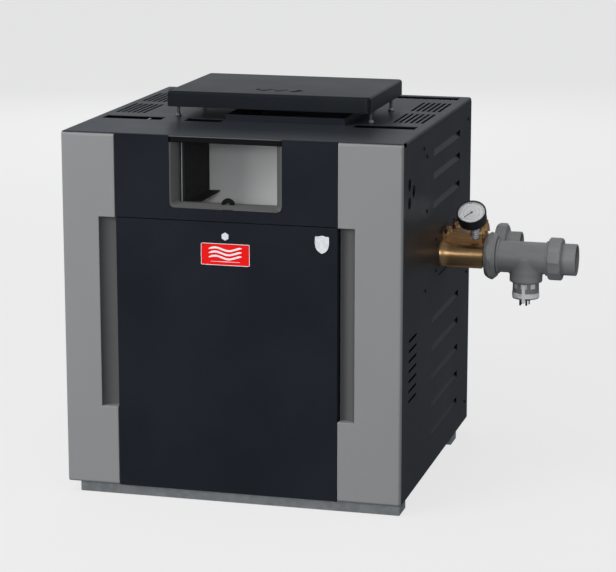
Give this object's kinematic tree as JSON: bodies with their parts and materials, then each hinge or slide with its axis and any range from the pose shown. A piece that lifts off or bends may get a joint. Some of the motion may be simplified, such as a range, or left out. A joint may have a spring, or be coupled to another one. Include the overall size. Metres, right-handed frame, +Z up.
{
  "type": "gas pool heater",
  "caption": "Square steel-cabinet gas pool heater with plastic corner trims, pull-off door, control window, louvred sides, outdoor vent cap and side pipe unions with gauge.",
  "frame": {"origin": "floor, under the middle of the overall box, which takes in the cabinet and its side pipes", "axes": "+X right along the pipes as seen from the door, +Y back, +Z up"},
  "size_m": [0.8934, 0.626, 0.734],
  "materials": {
    "dark_steel": "satin powder coat",
    "grey_steel": "satin powder coat",
    "galvanised_steel": "spangled zinc",
    "trim_plastic": "fine grain",
    "bezel_plastic": "matt",
    "bay_steel": "matt paint",
    "rubber": "matt",
    "red_enamel": "gloss enamel",
    "silver_foil": "satin",
    "zinc_plate": "bright zinc",
    "copper_fins": "plain copper",
    "ceramic_fibre": "fibrous",
    "bronze": "as cast",
    "cast_iron": "painted",
    "grey_pipe_plastic": "moulded",
    "black_paint": "satin",
    "white_enamel": "matt",
    "clear_glass": "polished",
    "cast_aluminium": "die cast",
    "circuit_board": "solder mask"
  },
  "bodies": {
    "cabinet": {"base_front_rail": "galvanised_steel", "base_rear_rail": "galvanised_steel", "base_pan": "galvanised_steel", "flue_hood": "galvanised_steel", "burner_tray": "galvanised_steel", "burner_1": "galvanised_steel", "burner_2": "galvanised_steel", "burner_3": "galvanised_steel", "burner_4": "galvanised_steel", "burner_5": "galvanised_steel", "junction_box": "galvanised_steel", "flue_collar": "dark_steel", "right_side_panel": "dark_steel", "left_side_panel": "dark_steel", "rear_panel": "dark_steel", "upper_front_panel": "dark_steel", "top_panel": "grey_steel", "vent_cap": "grey_steel", "left_corner_trim": "trim_plastic", "right_corner_trim": "trim_plastic", "window_bezel": "bezel_plastic", "control_bay": "bay_steel", "cable_grommet": "rubber", "cap_leg_1": "zinc_plate", "cap_leg_2": "zinc_plate", "cap_leg_3": "zinc_plate", "cap_leg_4": "zinc_plate", "gauge_stem": "zinc_plate", "heat_exchanger": "copper_fins", "refractory_front": "ceramic_fibre", "refractory_back": "ceramic_fibre", "refractory_left": "ceramic_fibre", "refractory_right": "ceramic_fibre", "igniter": "ceramic_fibre", "port_header": "bronze", "return_header": "cast_iron", "gas_manifold": "cast_iron", "gas_inlet_pipe": "cast_iron", "transformer": "cast_iron", "outlet_tee": "grey_pipe_plastic", "outlet_tail": "grey_pipe_plastic", "inlet_tail": "grey_pipe_plastic", "gauge_case": "black_paint", "gauge_dial": "white_enamel", "gauge_lens": "clear_glass", "gas_valve": "cast_aluminium", "control_board": "circuit_board"},
    "front_door": {"front_door": "dark_steel", "badge": "red_enamel", "rating_label": "silver_foil"},
    "door_latch": {"door_latch": "zinc_plate"},
    "outlet_header_nut": {"outlet_header_nut": "grey_pipe_plastic"},
    "inlet_header_nut": {"inlet_header_nut": "grey_pipe_plastic"},
    "outlet_union_nut": {"outlet_union_nut": "grey_pipe_plastic"},
    "anode": {"anode_cap": "grey_pipe_plastic", "anode_rod": "zinc_plate", "bonding_lug": "black_paint"},
    "gauge_needle": {"gauge_needle": "black_paint"},
    "gas_valve_knob": {"gas_valve_knob": "red_enamel"}
  },
  "joints": [
    {"name": "door_pull_off", "type": "slide", "parent": "cabinet", "child": "front_door", "axis": [0, -1, 0], "range_m": [0, 0.25]},
    {"name": "latch_turn", "type": "hinge", "parent": "front_door", "child": "door_latch", "pos_m": [-0.13725, -0.311, 0.5], "axis": [0, 1, 0], "range_deg": [0, 90]},
    {"name": "outlet_header_nut_turn", "type": "hinge", "parent": "cabinet", "child": "outlet_header_nut", "pos_m": [0.27475, 0.035, 0.418], "axis": [1, 0, 0], "continuous": true},
    {"name": "inlet_header_nut_turn", "type": "hinge", "parent": "cabinet", "child": "inlet_header_nut", "pos_m": [0.27775, 0.128, 0.418], "axis": [1, 0, 0], "continuous": true},
    {"name": "outlet_union_nut_turn", "type": "hinge", "parent": "cabinet", "child": "outlet_union_nut", "pos_m": [0.39475, 0.035, 0.418], "axis": [1, 0, 0], "continuous": true},
    {"name": "anode_unscrew", "type": "hinge", "parent": "cabinet", "child": "anode", "pos_m": [0.35075, 0.035, 0.3717], "axis": [0, 0, 1], "continuous": true},
    {"name": "gauge_needle_turn", "type": "hinge", "parent": "cabinet", "child": "gauge_needle", "pos_m": [0.24775, 0.0167, 0.50178], "axis": [0, 0.6428, -0.766], "range_deg": [0, 270]},
    {"name": "gas_valve_turn", "type": "hinge", "parent": "cabinet", "child": "gas_valve_knob", "pos_m": [-0.34425, -0.215, 0.1378], "axis": [0, 0, 1], "range_deg": [0, 90]}
  ]
}
